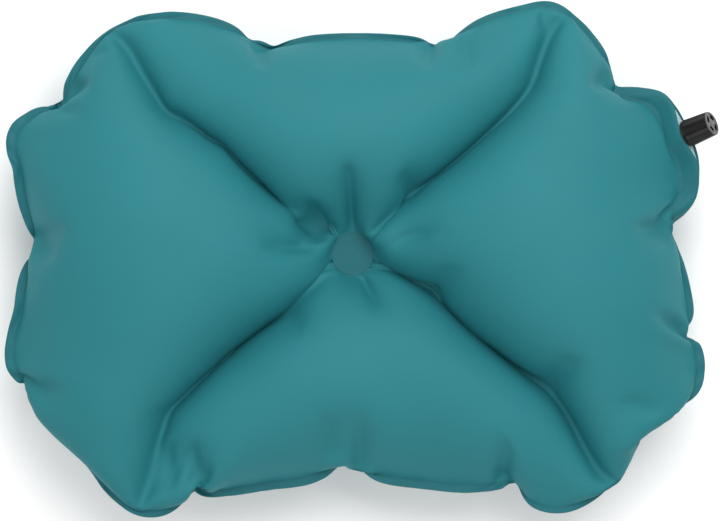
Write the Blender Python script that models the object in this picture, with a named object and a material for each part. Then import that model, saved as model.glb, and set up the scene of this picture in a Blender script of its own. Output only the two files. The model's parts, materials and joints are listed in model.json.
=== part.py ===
"""Inflatable camp pillow: two welded fabric panels with a pinched centre and a twist valve.

Lengths are in metres. The pillow is drawn about the middle of its centre weld, and the valve
about its own axis. The last step moves the whole pillow so that it stands on Z = 0 with its
bounding box centred on the origin. +X runs along the long side, towards the valve.
"""

import math

import bpy
import numpy as np
from mathutils import Matrix, Vector

MM = 0.001

# Pillow body
DISC_RADIUS = 11.5 * MM
FLANGE_WIDTH = 8.0 * MM
PANEL_THICKNESS = 0.6 * MM
GAP = 0.3 * MM
SIDE_LOBE_HEIGHT = 50.5 * MM
END_LOBE_HEIGHT = 40.0 * MM
CREST_SHARE = 0.55
CLIMB_POWER = 0.7
CREASE_DEPTH = 0.6
CREASE_WIDTH = 20.0 * MM
REST_FLAT_DEPTH = 3.0 * MM
RADIAL_STEPS = 9
SCALLOP_STEPS = 5

# Valve, measured along its axis from the outer edge of the flange
VALVE_EDGE = Vector((179.7 * MM, 64.6 * MM, 0.0))
VALVE_AZIMUTH = math.radians(23.0)
VALVE_TILT = math.radians(30.0)
VALVE_FLANGE_WIDTH = 12.0 * MM
VALVE_FLAT_HALF = 17.0 * MM
VALVE_BLEND_END = 45.0 * MM
BOAT_CREST_HALF = 2.0 * MM
BOAT_HALF_HEIGHT = 5.6 * MM
BOAT_TIP = 16.5 * MM
BOAT_TIP_HALF_HEIGHT = 0.4 * MM

STEM_RADIUS = 4.8 * MM
STEM_BORE = 3.35 * MM
STEM_INNER_END = -16.0 * MM
STEM_TOP = 11.3 * MM
COLLAR_RADIUS = 6.9 * MM
COLLAR = (0.3 * MM, 1.1 * MM)
BARB_RADIUS = 5.8 * MM
BARB = (-14.3 * MM, -12.9 * MM)

CAP_RADIUS = 7.5 * MM
CAP_TOP_RADIUS = 6.7 * MM
CAP_BORE = 5.7 * MM
CAP_BOTTOM = 1.4 * MM
CAP_WALL_INNER = 15.1 * MM
CAP_TOP = 16.6 * MM
GRIP_RIBS = 20
GRIP_DEPTH = 0.45 * MM
CAP_PORTS = 4
PORT_INNER = 2.8 * MM
PORT_OUTER = 5.0 * MM
PORT_ARC = math.radians(54.0)

THREAD_LEAD = 3.0 * MM
THREAD_WIDTH = 0.9 * MM
THREAD_CLEARANCE = 0.25 * MM
THREAD_BEARING = math.radians(4.0)
STEM_THREAD_START = 1.9 * MM
STEM_THREAD_TURNS = 1.6
CAP_THREAD_TURNS = 0.5

SEAL_CENTRE = 8.2 * MM
SEAL_GROOVE_RADIUS = 6.35 * MM
SEAL_GROOVE_HALF = 0.8 * MM
SEAL_CLEARANCE = 0.25 * MM
SEAL_HALF_HEIGHT = 0.55 * MM

SPIDER_BOTTOM = 8.8 * MM
SPIDER_RING_TOP = 11.2 * MM
SPIDER_DISC = (12.9 * MM, 13.7 * MM)
SPIDER_DISC_RADIUS = 4.5 * MM
SPIDER_LEGS = 3
WASHER = (14.0 * MM, 14.8 * MM)
WASHER_RADIUS = 5.2 * MM
STUD_RADIUS = 0.9 * MM

# Flange edge in millimetres, clockwise from above. Each row is one scallop between two
# puckers, and starts at the pucker's tip.
SCALLOPS = (
    ((50, 113), (67, 127), (88, 134), (108, 137), (126, 124), (139, 106)),
    ((143, 91), (157, 90), (168.2, 86.6), (173.1, 80.2), (178.9, 66.4), (179.7, 64.6),
     (180.5, 62.8), (186.3, 49), (186.8, 42), (186.6, 33), (181.5, 22)),
    ((173, 11), (178, -1), (183, -20), (185, -36)),
    ((181, -45), (189, -49), (191, -62), (188, -75), (178, -82), (166, -87)),
    ((156, -84), (157, -96), (147, -116), (131, -133), (112, -141), (99, -139), (93, -133)),
    ((85, -124), (78, -128), (60, -129.5), (37, -127), (12, -123)),
    ((-5, -113), (-18, -123), (-46, -128), (-75, -132), (-84, -132)),
    ((-87, -127), (-93, -135), (-112, -143), (-126, -136), (-145, -114), (-160, -96), (-171, -83)),
    ((-174, -69), (-182, -70), (-189, -60), (-188, -47), (-183, -29), (-181, -14), (-177, -3)),
    ((-171, 6), (-177, 16), (-182, 32), (-184, 47), (-188, 57), (-187, 68), (-176, 77), (-168, 81)),
    ((-158, 82), (-155, 95), (-144, 111), (-126, 125), (-112, 130), (-90, 131), (-68, 126)),
    ((-43, 112), (-30, 117), (-5, 119.5), (20, 119), (38, 117)),
)
VALVE_SCALLOP = 1

# Each crease runs from the centre weld to a kink and then to a corner of the panel.
CREASES = (
    ((75, 92), (90, 128)),
    ((106, -73), (134, -121)),
    ((-98, -84), (-113, -132)),
    ((-101, 78), (-104, 124)),
)


def clear_scene():
    for obj in list(bpy.data.objects):
        bpy.data.objects.remove(obj)


def material(name, colour, roughness):
    made = bpy.data.materials.new(name)
    made.use_nodes = True
    shader = made.node_tree.nodes["Principled BSDF"]
    shader.inputs["Base Color"].default_value = (*colour, 1.0)
    shader.inputs["Roughness"].default_value = roughness
    made.diffuse_color = (*colour, 1.0)
    return made


def add_object(name, points, faces, surface, parent):
    mesh = bpy.data.meshes.new(name)
    mesh.from_pydata([tuple(p) for p in points], [], [tuple(f) for f in faces])
    mesh.validate()
    mesh.materials.append(surface)
    obj = bpy.data.objects.new(name, mesh)
    bpy.context.scene.collection.objects.link(obj)
    obj.parent = parent
    return obj


def empty(name, parent=None):
    made = bpy.data.objects.new(name, None)
    bpy.context.scene.collection.objects.link(made)
    made.parent = parent
    return made


def boolean(target, cutter, operation):
    """Joins or cuts, with the cutter kept as a hidden helper."""
    cutter.hide_render = True
    cutter.display_type = "WIRE"
    modifier = target.modifiers.new(cutter.name, "BOOLEAN")
    modifier.operation = operation
    modifier.object = cutter
    modifier.solver = "EXACT"


# Pillow panels


def valve_frame():
    """Unit vectors of the valve: out along its axis, along the rim, and up from the flange."""
    out = Vector((
        math.cos(VALVE_TILT) * math.cos(VALVE_AZIMUTH),
        math.cos(VALVE_TILT) * math.sin(VALVE_AZIMUTH),
        math.sin(VALVE_TILT),
    ))
    along = Vector((-math.sin(VALVE_AZIMUTH), math.cos(VALVE_AZIMUTH), 0.0))
    return out, along, out.cross(along)


def even_samples(corners, steps):
    """The start of each of `steps` equal lengths along an open polyline."""
    corners = np.array(corners, float)
    reach = np.concatenate([[0.0], np.cumsum(np.linalg.norm(np.diff(corners, axis=0), axis=1))])
    at = np.linspace(0.0, reach[-1], steps + 1)[:-1]
    return np.stack([np.interp(at, reach, corners[:, axis]) for axis in (0, 1)], axis=1)


def flange_edge():
    """The flange's outer edge in plan, one point for each column of the panels' grid."""
    columns = []
    for index, scallop in enumerate(SCALLOPS):
        following = SCALLOPS[(index + 1) % len(SCALLOPS)][0]
        if index == VALVE_SCALLOP:
            columns.append(np.array(scallop, float))
        else:
            columns.append(even_samples(scallop + (following,), SCALLOP_STEPS))
    return np.concatenate(columns) * MM


def smoothed(edge):
    """The edge in plan with its scallops averaged away."""
    for _ in range(12):
        edge = (np.roll(edge, 1, axis=0) + 2 * edge + np.roll(edge, -1, axis=0)) / 4
    return edge


def outward_normals(edge):
    """Unit vectors in plan, square to an edge that runs clockwise."""
    tangent = np.roll(edge, -1, axis=0) - np.roll(edge, 1, axis=0)
    tangent /= np.linalg.norm(tangent, axis=1)[:, None]
    return np.stack([-tangent[:, 1], tangent[:, 0]], axis=1)


def crease_distance(points):
    """Distance in plan from each point to the nearest crease."""
    nearest = np.full(points.shape[:-1], np.inf)
    for kink, corner in CREASES:
        for start, end in (((0, 0), kink), (kink, corner)):
            start = np.array(start) * MM
            span = np.array(end) * MM - start
            share = np.clip(((points - start) @ span) / (span @ span), 0.0, 1.0)
            distance = np.linalg.norm(points - start - share[..., None] * span, axis=-1)
            nearest = np.minimum(nearest, distance)
    return nearest


def lobe_profile(share):
    """Height of a lobe, as a share of its crest, at a share of the way from weld to seam.

    It climbs as a power of a sine, and falls to the seam as a quarter of an ellipse."""
    climb = np.sin(np.clip(share / CREST_SHARE, 0, 1) * math.pi / 2) ** CLIMB_POWER
    fall = np.sqrt(1 - np.clip((share - CREST_SHARE) / (1 - CREST_SHARE), 0, 1) ** 2)
    return climb * fall


def boat_room(along):
    """Half of the space that the panels leave round the valve's boat, at a distance along the rim."""
    crest = BOAT_HALF_HEIGHT + 0.35 * MM
    return np.interp(
        np.abs(along),
        [BOAT_CREST_HALF, VALVE_FLAT_HALF, VALVE_FLAT_HALF + 7 * MM],
        [crest, 0.75 * MM, GAP / 2],
    )


def smooth_step(share):
    return share * share * (3 - 2 * share)


def panel_face(side, inset):
    """One face of a panel as rows from the centre weld to the flange's edge, side +1 or -1.

    The outer face has no inset, and the inner face is inset by the panel's thickness. A row's
    height is a share of the lobe's, lowered near each crease."""
    edge = flange_edge()
    guide = smoothed(edge)
    out, rim, _ = valve_frame()
    out, rim = np.array(out), np.array(rim)
    along = (edge - np.array(VALVE_EDGE)[:2]) @ rim[:2]
    near_valve = edge[:, 0] > VALVE_EDGE.x - VALVE_BLEND_END
    blend = np.interp(np.abs(along), [VALVE_FLAT_HALF, VALVE_BLEND_END], [1, 0]) * near_valve
    blend = smooth_step(blend)[:, None]

    level = outward_normals(guide) * (1 - blend) + out[None, :2] / math.cos(VALVE_TILT) * blend
    level /= np.linalg.norm(level, axis=1)[:, None]
    tilt = VALVE_TILT * blend
    outward = np.concatenate([level * np.cos(tilt), np.sin(tilt)], axis=1)
    upward = np.concatenate([-level * np.sin(tilt), np.cos(tilt)], axis=1)
    width = FLANGE_WIDTH + (VALVE_FLANGE_WIDTH - FLANGE_WIDTH) * blend

    room = np.where(near_valve, boat_room(along), GAP / 2)[:, None] + PANEL_THICKNESS - inset
    rim_edge = np.concatenate([edge, width * np.sin(tilt)], axis=1) + side * upward * room
    seam = rim_edge - outward * (width + inset)

    weld_height = side * (GAP / 2 + PANEL_THICKNESS - inset)
    weld = guide / np.linalg.norm(guide, axis=1)[:, None] * (DISC_RADIUS + inset)
    weld = np.concatenate([weld, np.full((len(weld), 1), weld_height)], axis=1)

    share = (1 - np.cos(np.linspace(0, math.pi, RADIAL_STEPS + 1))) / 2
    share = share[:, None, None]
    rows = weld + (seam - weld) * share
    facing = rows[..., 0] / np.linalg.norm(rows[..., :2], axis=-1)
    lobe = END_LOBE_HEIGHT + (SIDE_LOBE_HEIGHT - END_LOBE_HEIGHT) * facing ** 2 - inset
    valley = 1 - CREASE_DEPTH * np.exp(-((crease_distance(rows[..., :2]) / CREASE_WIDTH) ** 2))
    rows[..., 2] += side * lobe * lobe_profile(share[..., 0]) * valley
    if side < 0:
        rows[..., 2] = np.maximum(rows[..., 2], inset + REST_FLAT_DEPTH - SIDE_LOBE_HEIGHT)
    return np.concatenate([rows, rim_edge[None]], axis=0), (0, 0, weld_height)


def panel(name, side, surface, parent):
    """A fabric panel: outer and inner faces, each closed by a fan over the centre weld, and
    joined along the flange's edge."""
    outer, outer_centre = panel_face(side, 0.0)
    inner, inner_centre = panel_face(side, PANEL_THICKNESS)
    rows, columns = outer.shape[:2]
    sheet = rows * columns
    ring = np.arange(columns)
    following = (ring + 1) % columns
    row = np.arange(rows - 1)[:, None] * columns
    near, far = row + ring, row + following + columns
    halves = [np.stack([near, row + following, far], axis=-1),
              np.stack([near, far, row + ring + columns], axis=-1)]
    skin = np.concatenate(halves).reshape(-1, 3)
    edge = sheet - columns
    strip = np.stack([edge + ring, edge + following, edge + following + sheet,
                      edge + ring + sheet], axis=1)
    fan = np.stack([np.full(columns, 2 * sheet), following, ring], axis=1)
    inner_fan = np.stack([np.full(columns, 2 * sheet + 1), ring + sheet, following + sheet], axis=1)
    faces = skin.tolist() + (skin[:, ::-1] + sheet).tolist() + strip.tolist()
    faces += fan.tolist() + inner_fan.tolist()
    if side < 0:
        faces = [face[::-1] for face in faces]
    points = np.concatenate([
        outer.reshape(-1, 3), inner.reshape(-1, 3), [outer_centre, inner_centre],
    ])
    obj = add_object(name, points, faces, surface, parent)
    obj.data.set_sharp_from_angle(angle=math.radians(50))
    return obj


# Valve


def turned(name, profile, surface, parent, segments=48, shape=None):
    """A solid of revolution about Z from a closed profile of (radius, height), anticlockwise.

    shape(angle) scales the radius of every profile point that ends in True."""
    angles = np.arange(segments) * 2 * math.pi / segments
    scale = np.ones(segments) if shape is None else shape(angles)
    rings, points = [], []
    for entry in profile:
        radius, height = entry[:2]
        if radius == 0:
            rings.append([len(points)] * segments)
            points.append((0.0, 0.0, height))
            continue
        reach = radius * scale if len(entry) > 2 else np.full(segments, radius)
        rings.append(list(range(len(points), len(points) + segments)))
        points += zip(reach * np.cos(angles), reach * np.sin(angles), np.full(segments, height))
    faces = []
    for first, second in zip(rings, rings[1:] + rings[:1]):
        for i in range(segments):
            j = (i + 1) % segments
            corners = list(dict.fromkeys((first[i], first[j], second[j], second[i])))
            if len(corners) > 2:
                faces.append(corners)
    obj = add_object(name, points, faces, surface, parent)
    obj.data.set_sharp_from_angle(angle=math.radians(30))
    return obj


def helix(name, start, turns, root, crest, surface, parent):
    """A thread ridge: a trapezium carried round a right-hand helix, closed at both ends."""
    steps = round(32 * turns)
    section = (
        (root, -THREAD_WIDTH / 2), (crest, -THREAD_WIDTH / 3),
        (crest, THREAD_WIDTH / 3), (root, THREAD_WIDTH / 2),
    )
    points, faces = [], []
    for step in range(steps + 1):
        share = turns * step / steps
        angle = THREAD_BEARING + 2 * math.pi * share
        height = start + THREAD_LEAD * share
        for radius, offset in section:
            points.append((radius * math.cos(angle), radius * math.sin(angle), height + offset))
    for step in range(steps):
        for corner in range(4):
            here, there = 4 * step + corner, 4 * step + (corner + 1) % 4
            faces.append((here, there, there + 4, here + 4))
    faces.append((3, 2, 1, 0))
    faces.append(tuple(range(4 * steps, 4 * steps + 4)))
    if root > crest:
        faces = [face[::-1] for face in faces]
    return add_object(name, points, faces, surface, parent)


def prism(name, outline, bottom, top, surface, parent):
    """A plan outline, anticlockwise from above, extruded along Z."""
    count = len(outline)
    points = [(x, y, z) for z in (bottom, top) for x, y in outline]
    faces = [tuple(reversed(range(count))), tuple(range(count, 2 * count))]
    faces += [(i, (i + 1) % count, (i + 1) % count + count, i + count) for i in range(count)]
    return add_object(name, points, faces, surface, parent)


def boat(surface, parent):
    """Lens-shaped weld-in mount that spreads the round stem out to the flat flange."""
    half = (
        (BOAT_TIP, BOAT_TIP_HALF_HEIGHT), (BOAT_CREST_HALF, BOAT_HALF_HEIGHT),
        (-BOAT_CREST_HALF, BOAT_HALF_HEIGHT), (-BOAT_TIP, BOAT_TIP_HALF_HEIGHT),
    )
    outline = half + tuple((-x, -y) for x, y in half)
    lens = prism("valve_boat", outline, -VALVE_FLANGE_WIDTH, -1.0 * MM, surface, parent)
    bore = turned("boat_bore", rod(STEM_RADIUS + GAP, -20 * MM, 5 * MM), surface, parent, 32)
    boolean(lens, bore, "DIFFERENCE")
    return lens


def rod(radius, bottom, top):
    return ((0, bottom), (radius, bottom), (radius, top), (0, top))


def tube(outer, inner, bottom, top):
    return ((inner, bottom), (outer, bottom), (outer, top), (inner, top))


def stem(surface, parent):
    """Barbed tube with a collar under the cap and the outer half of the thread."""
    chamfer = 0.4 * MM
    profile = (
        (STEM_BORE, STEM_INNER_END), (STEM_RADIUS - chamfer, STEM_INNER_END),
        (STEM_RADIUS, STEM_INNER_END + chamfer), (STEM_RADIUS, BARB[0]),
        (BARB_RADIUS, BARB[1] - chamfer), (BARB_RADIUS, BARB[1]), (STEM_RADIUS, BARB[1]),
        (STEM_RADIUS, COLLAR[0]), (COLLAR_RADIUS, COLLAR[0]), (COLLAR_RADIUS, COLLAR[1]),
        (STEM_RADIUS, COLLAR[1]), (STEM_RADIUS, STEM_TOP - chamfer),
        (STEM_RADIUS - chamfer, STEM_TOP), (STEM_BORE, STEM_TOP),
    )
    body = turned("valve_stem", profile, surface, parent, 32)
    ridge = helix(
        "stem_thread", STEM_THREAD_START, STEM_THREAD_TURNS,
        STEM_RADIUS - 0.3 * MM, CAP_BORE - THREAD_CLEARANCE, surface, parent,
    )
    boolean(body, ridge, "UNION")
    return body


def spider(surface, parent):
    """Plug insert: a ring in the stem's mouth, three legs, and the disc that the cap shuts on."""
    outer = STEM_BORE - GAP
    inner = outer - 1.1 * MM
    body = turned("plug_spider", tube(outer, inner, SPIDER_BOTTOM, SPIDER_RING_TOP), surface, parent, 24)
    disc = turned(
        "spider_disc",
        ((0, SPIDER_DISC[0]), (SPIDER_DISC_RADIUS, SPIDER_DISC[0]), (SPIDER_DISC_RADIUS, SPIDER_DISC[1]),
         (STUD_RADIUS, SPIDER_DISC[1]), (STUD_RADIUS, WASHER[1]), (0, WASHER[1])),
        surface, parent, 32,
    )
    for index in range(SPIDER_LEGS):
        turn = Matrix.Rotation(2 * math.pi * (index + 0.25) / SPIDER_LEGS, 2)
        corners = [turn @ Vector(corner) for corner in (
            (inner + 0.1 * MM, -0.6 * MM), (outer - 0.1 * MM, -0.6 * MM),
            (outer - 0.1 * MM, 0.6 * MM), (inner + 0.1 * MM, 0.6 * MM),
        )]
        leg = prism(f"spider_leg_{index}", corners, SPIDER_BOTTOM + 0.5 * MM,
                    SPIDER_DISC[0] + 0.3 * MM, surface, parent)
        boolean(body, leg, "UNION")
    boolean(body, disc, "UNION")
    return body


def grip(angles):
    """Scale of the cap's radius round its ribs: one step of three is a groove."""
    step = np.round(angles * GRIP_RIBS * 3 / (2 * math.pi)).astype(int) % 3
    return np.where(step == 0, 1 - GRIP_DEPTH / CAP_RADIUS, 1.0)


def cap(surface, parent):
    """Ribbed cap: grooved bore for the seal, inner half of the thread, and ports in the end wall."""
    chamfer = 0.6 * MM
    profile = (
        (CAP_BORE, CAP_BOTTOM), (CAP_RADIUS - chamfer, CAP_BOTTOM, True),
        (CAP_RADIUS, CAP_BOTTOM + chamfer, True), (CAP_TOP_RADIUS, CAP_TOP - chamfer, True),
        (CAP_TOP_RADIUS - chamfer, CAP_TOP, True), (0, CAP_TOP), (0, CAP_WALL_INNER),
        (CAP_BORE, CAP_WALL_INNER), (CAP_BORE, SEAL_CENTRE + SEAL_GROOVE_HALF),
        (SEAL_GROOVE_RADIUS, SEAL_CENTRE + SEAL_GROOVE_HALF),
        (SEAL_GROOVE_RADIUS, SEAL_CENTRE - SEAL_GROOVE_HALF),
        (CAP_BORE, SEAL_CENTRE - SEAL_GROOVE_HALF),
    )
    body = turned("valve_cap", profile, surface, parent, 3 * GRIP_RIBS, grip)
    ridge = helix(
        "cap_thread", STEM_THREAD_START + THREAD_LEAD / 2, CAP_THREAD_TURNS,
        CAP_BORE + 0.3 * MM, STEM_RADIUS + THREAD_CLEARANCE, surface, parent,
    )
    boolean(body, ridge, "UNION")
    for index in range(CAP_PORTS):
        middle = 2 * math.pi * (index + 0.5) / CAP_PORTS
        spread = np.linspace(-PORT_ARC / 2, PORT_ARC / 2, 5)
        corners = [(PORT_OUTER * math.cos(middle + a), PORT_OUTER * math.sin(middle + a)) for a in spread]
        corners += [(PORT_INNER * math.cos(middle + a), PORT_INNER * math.sin(middle + a))
                    for a in (PORT_ARC / 4, -PORT_ARC / 4)]
        port = prism(f"cap_port_{index}", corners, CAP_WALL_INNER - 1 * MM, CAP_TOP + 1 * MM, surface, parent)
        boolean(body, port, "DIFFERENCE")
    return body


def seal_ring(surface, parent):
    """Rubber ring in the cap's groove, eight-sided in section."""
    inner = STEM_RADIUS + SEAL_CLEARANCE
    outer = SEAL_GROOVE_RADIUS - SEAL_CLEARANCE
    middle, half = (inner + outer) / 2, (outer - inner) / 2
    turn = np.arange(8) * math.pi / 4 - math.pi / 2
    profile = [(middle + half * math.cos(a), SEAL_CENTRE + SEAL_HALF_HEIGHT * math.sin(a)) for a in turn]
    return turned("cap_seal", profile, surface, parent, 32)


def washer(surface, parent):
    """Rubber washer on the spider's stud, which closes the cap's ports."""
    profile = tube(WASHER_RADIUS, STUD_RADIUS + GAP, *WASHER)
    return turned("plug_washer", profile, surface, parent, 40)


def build_valve(parent, black, film, rubber):
    out, rim, up = valve_frame()
    axis = empty("valve_axis", parent)
    edge = VALVE_EDGE + Vector((0, 0, VALVE_FLANGE_WIDTH * math.sin(VALVE_TILT)))
    turn = Matrix((rim, up, out)).transposed().to_4x4()
    axis.matrix_world = Matrix.Translation(edge) @ turn
    boat(film, axis)
    stem(black, axis)
    spider(black, axis)
    washer(rubber, axis)
    seal_ring(rubber, axis)
    cap(black, axis)


def stand_on_origin(root):
    """Moves the pillow so that its bounding box stands centred on the origin."""
    bpy.context.view_layer.update()
    graph = bpy.context.evaluated_depsgraph_get()
    corners = []
    for obj in bpy.data.objects:
        if obj.type == "MESH" and not obj.hide_render:
            solid = obj.evaluated_get(graph)
            mesh = solid.to_mesh()
            corners += [solid.matrix_world @ vertex.co for vertex in mesh.vertices]
            solid.to_mesh_clear()
    low, high = np.min(corners, axis=0), np.max(corners, axis=0)
    root.location = (-(low[0] + high[0]) / 2, -(low[1] + high[1]) / 2, -low[2])


def main():
    clear_scene()
    teal = material("panel_fabric", (0.045, 0.26, 0.28), 0.6)
    black = material("valve_plastic", (0.012, 0.012, 0.013), 0.4)
    film = material("weld_film", (0.55, 0.68, 0.72), 0.35)
    rubber = material("seal_rubber", (0.02, 0.02, 0.02), 0.8)
    root = empty("pillow")
    panel("top_panel", 1, teal, root)
    panel("bottom_panel", -1, teal, root)
    build_valve(root, black, film, rubber)
    stand_on_origin(root)


main()
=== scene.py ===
"""Camp pillow: the fabric panels, valve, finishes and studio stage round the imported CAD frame.

Shapes are worked out in millimetres, the panels about the middle of the centre weld and the
valve about its own axis, and are put into the frame in metres as each mesh is made.
"""

import json
import math

import bmesh
import bpy
import numpy as np
from bpy.props import FloatProperty, FloatVectorProperty, IntProperty, PointerProperty
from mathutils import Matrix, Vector


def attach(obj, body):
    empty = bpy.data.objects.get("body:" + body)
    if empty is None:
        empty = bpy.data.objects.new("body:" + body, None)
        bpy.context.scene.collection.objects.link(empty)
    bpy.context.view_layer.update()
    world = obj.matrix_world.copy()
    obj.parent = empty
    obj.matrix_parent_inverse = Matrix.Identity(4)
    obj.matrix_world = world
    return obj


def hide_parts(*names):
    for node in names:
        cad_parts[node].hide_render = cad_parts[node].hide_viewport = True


bl_info = {
    "name": "Camp Pillow",
    "version": (1, 0, 0),
    "blender": (4, 5, 0),
    "location": "3D View > Sidebar > Camp Pillow",
    "description": "Inflates a two-panel camp pillow and finishes its twist valve",
    "category": "Object",
}

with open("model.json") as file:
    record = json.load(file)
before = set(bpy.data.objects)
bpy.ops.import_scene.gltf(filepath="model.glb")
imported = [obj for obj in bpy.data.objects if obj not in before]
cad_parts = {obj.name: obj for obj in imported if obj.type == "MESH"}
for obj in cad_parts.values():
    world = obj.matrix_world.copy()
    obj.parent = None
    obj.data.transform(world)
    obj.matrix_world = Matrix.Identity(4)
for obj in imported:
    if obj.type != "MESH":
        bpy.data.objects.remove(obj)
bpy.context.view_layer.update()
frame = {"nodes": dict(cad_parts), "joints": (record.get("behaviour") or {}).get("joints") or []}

MM = 0.001
TWIST = next(joint for joint in frame["joints"] if joint["name"] == "cap_twist")

# Valve, in millimetres about the point where its axis meets the flange's edge
AXIS_POINT = np.array(TWIST["pos_m"])
OUT = np.array(TWIST["axis"]) / np.linalg.norm(TWIST["axis"])
RIM = np.array((-OUT[1], OUT[0], 0.0)) / np.hypot(OUT[0], OUT[1])
UP = np.cross(OUT, RIM)
VALVE_TILT = math.asin(OUT[2])
VALVE_FLANGE_WIDTH = 12.0
VALVE_EDGE = np.array((179.7, 64.6, VALVE_FLANGE_WIDTH * math.sin(VALVE_TILT)))
VALVE_FLAT_HALF = 17.0
VALVE_BLEND_END = 45.0
MOUNT_ROOM = ((2.0, 17.0, 24.0), (5.95, 0.75, 0.0))
MOUNT_FADE = 9.0

CENTRE = AXIS_POINT - VALVE_EDGE * MM

# Panels
SHEET = 0.3
JOIN_GAP = 0.02
FLOOR_LEVEL = -CENTRE[2] / MM + 0.1
SEAM_SET_BACK = 0.95
SEAM_SOFTNESS = 6.5
PUCKER_REACH = 8.0
PUCKER_NARROWING = 0.55

# Blurs of the flange's width and direction, as shares of the columns round the rim
WIDTH_BLUR = 0.006
GUIDE_BLUR = 0.0195

# Each scallop of the flange between two puckers: its width, then its edge clockwise from above
SCALLOPS = (
    (3.0, ((50, 113), (67, 127), (88, 134), (108, 137), (126, 124), (139, 106))),
    (12.0, ((143, 91), (157, 90), (168.2, 86.6), (173.1, 80.2), (178.9, 66.4), (179.7, 64.6),
            (180.5, 62.8), (186.3, 49), (186.8, 42), (186.6, 33), (181.5, 22))),
    (3.4, ((173, 11), (178, -1), (183, -20), (185, -36))),
    (4.4, ((181, -45), (189, -49), (191, -62), (188, -75), (178, -82), (166, -87))),
    (3.0, ((156, -84), (157, -96), (147, -116), (131, -133), (112, -141), (99, -139), (92, -133))),
    (4.6, ((86, -124), (78, -128), (60, -129.5), (37, -127), (12, -123))),
    (4.6, ((-5, -113), (-18, -123), (-46, -128), (-75, -132), (-84, -132))),
    (3.6, ((-88, -127), (-92, -135), (-102, -142), (-112, -143), (-126, -136), (-145, -114),
           (-160, -96), (-171, -83))),
    (5.0, ((-174, -69), (-182, -70), (-189, -60), (-188, -47), (-183, -29), (-181, -14), (-177, -3))),
    (5.0, ((-171, 6), (-177, 16), (-182, 32), (-184, 47), (-188, 57), (-187, 68), (-176, 77),
           (-168, 81))),
    (4.0, ((-158, 82), (-155, 95), (-144, 111), (-126, 125), (-112, 130), (-90, 131), (-68, 126))),
    (3.0, ((-43, 112), (-30, 117), (-5, 119.5), (20, 119), (38, 117))),
)

# Corners of the flat cloth before it is inflated, clockwise, and how far round them the edge starts
CUT = (
    (124, 152), (213, 92), (219, 0), (213, -92), (124, -152), (0, -152),
    (-124, -152), (-213, -92), (-219, 0), (-211, 90), (-132, 152), (0, 152),
)
CUT_START = 67.0
CUT_ROUNDING = 48

# Creases from the centre weld to each corner, in plan
CREASES = (
    ((0, 0), (21, 23), (32, 32), (51, 46), (71, 63), (84, 75), (92, 84), (97, 91), (101, 104),
     (106, 118), (111, 126)),
    ((0, 0), (25, -10), (43, -21), (55, -33), (71, -47), (90, -62), (106, -73), (116, -86),
     (125, -104), (134, -120)),
    ((0, 0), (-19, -17), (-32, -29), (-51, -42), (-69, -56), (-87, -73), (-99, -85), (-103, -96),
     (-108, -114), (-113, -132)),
    ((0, 0), (-25, 21), (-41, 29), (-53, 41), (-69, 57), (-87, 69), (-101, 77), (-113, 96),
     (-121, 110), (-130, 120)),
)

# Distances from the middle, and the creases' strength at each
CREASE_STRENGTH = ((11.5, 18, 48, 78, 100, 135), (0, 0.6, 0.75, 1, 1, 1.9))

# Short tucks, in plan, that run in from the rim and out from the centre weld
RIM_TUCKS = (
    ((-13, -88), (-12, -106)), ((5, -88), (4, -106)), ((-99, -105), (-97, -124)),
    ((-86, -103), (-84, -120)), ((83, -103), (81, -122)), ((152, 15), (173, 10)),
    ((108, -68), (117, -56)), ((-171, 10), (-154, 13)), ((-144, 109), (-134, 109)),
    ((-156, 84), (-144, 91)), ((-51, 115), (-49, 101)), ((60, 114), (62, 101)),
)
HUB_TUCKS = (
    ((-2, 44), (0, 13)), ((-45, 4), (-25, 3)), ((5, -12), (12, -26)), ((25, 8), (39, 11)),
    ((-21, 26), (-9, 10)), ((-29, 17), (-17, 8)), ((44, -20), (52, -8)), ((33, 32), (27, 41)),
    ((-34, -33), (-28, -39)),
)

# Notches between the scallops: the length of each one's tuck, and how far and how widely it is drawn in
NOTCH_TUCK = 15.0
NOTCH_DEPTH = 3.5
NOTCH_REACH = 4.5

# Cloth solver
COLUMNS = 160
ROWS = 16
LEVELS = ((1, 400), (2, 300), (4, 300))
PASSES = 4
PRESSURE = 0.06
DAMPING = 0.9
GUIDE_INTERVAL = 10
SEAM_PULL = 0.3
EDGE_PULL = 0.04
LEVEL_PULL = 0.03
WELD_CLEAR = 0.35
HUB_EASE = 0.13
HUB_EASE_REACH = 4.0

# Centre weld: shares of its radius, and the height of its low raised rim at each
WELD_PROFILE = (
    (0.14, 0.0), (0.4, 0.0), (0.65, 0.0), (0.85, 0.0), (0.92, 0.02), (0.955, 0.2), (0.98, 0.25),
)

# Stiffness along the rows, as a share of that round the columns
ROW_STIFFNESS = 0.6

# By level of refinement
CREASE_WIDTH = {1: 14.0, 2: 6.0, 4: 1.9}
STIFFNESS = {1: 0.25, 2: 0.25, 4: 0.14}

# Domes that the inflation starts from
START_CREST = 22.0
START_FULLNESS = 0.8
START_VALLEY = 0.9
START_VALLEY_WIDTH = 16.0


# Curves in plan


def smooth_step(share):
    """0 to 1 along s * s * (3 - 2 s), with the share held between 0 and 1."""
    share = np.clip(share, 0.0, 1.0)
    return share * share * (3 - 2 * share)


def bell(distance, width):
    """1 where the distance is nothing, falling away to 0 over about twice the width."""
    return np.exp(-(distance / width) ** 2)


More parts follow.
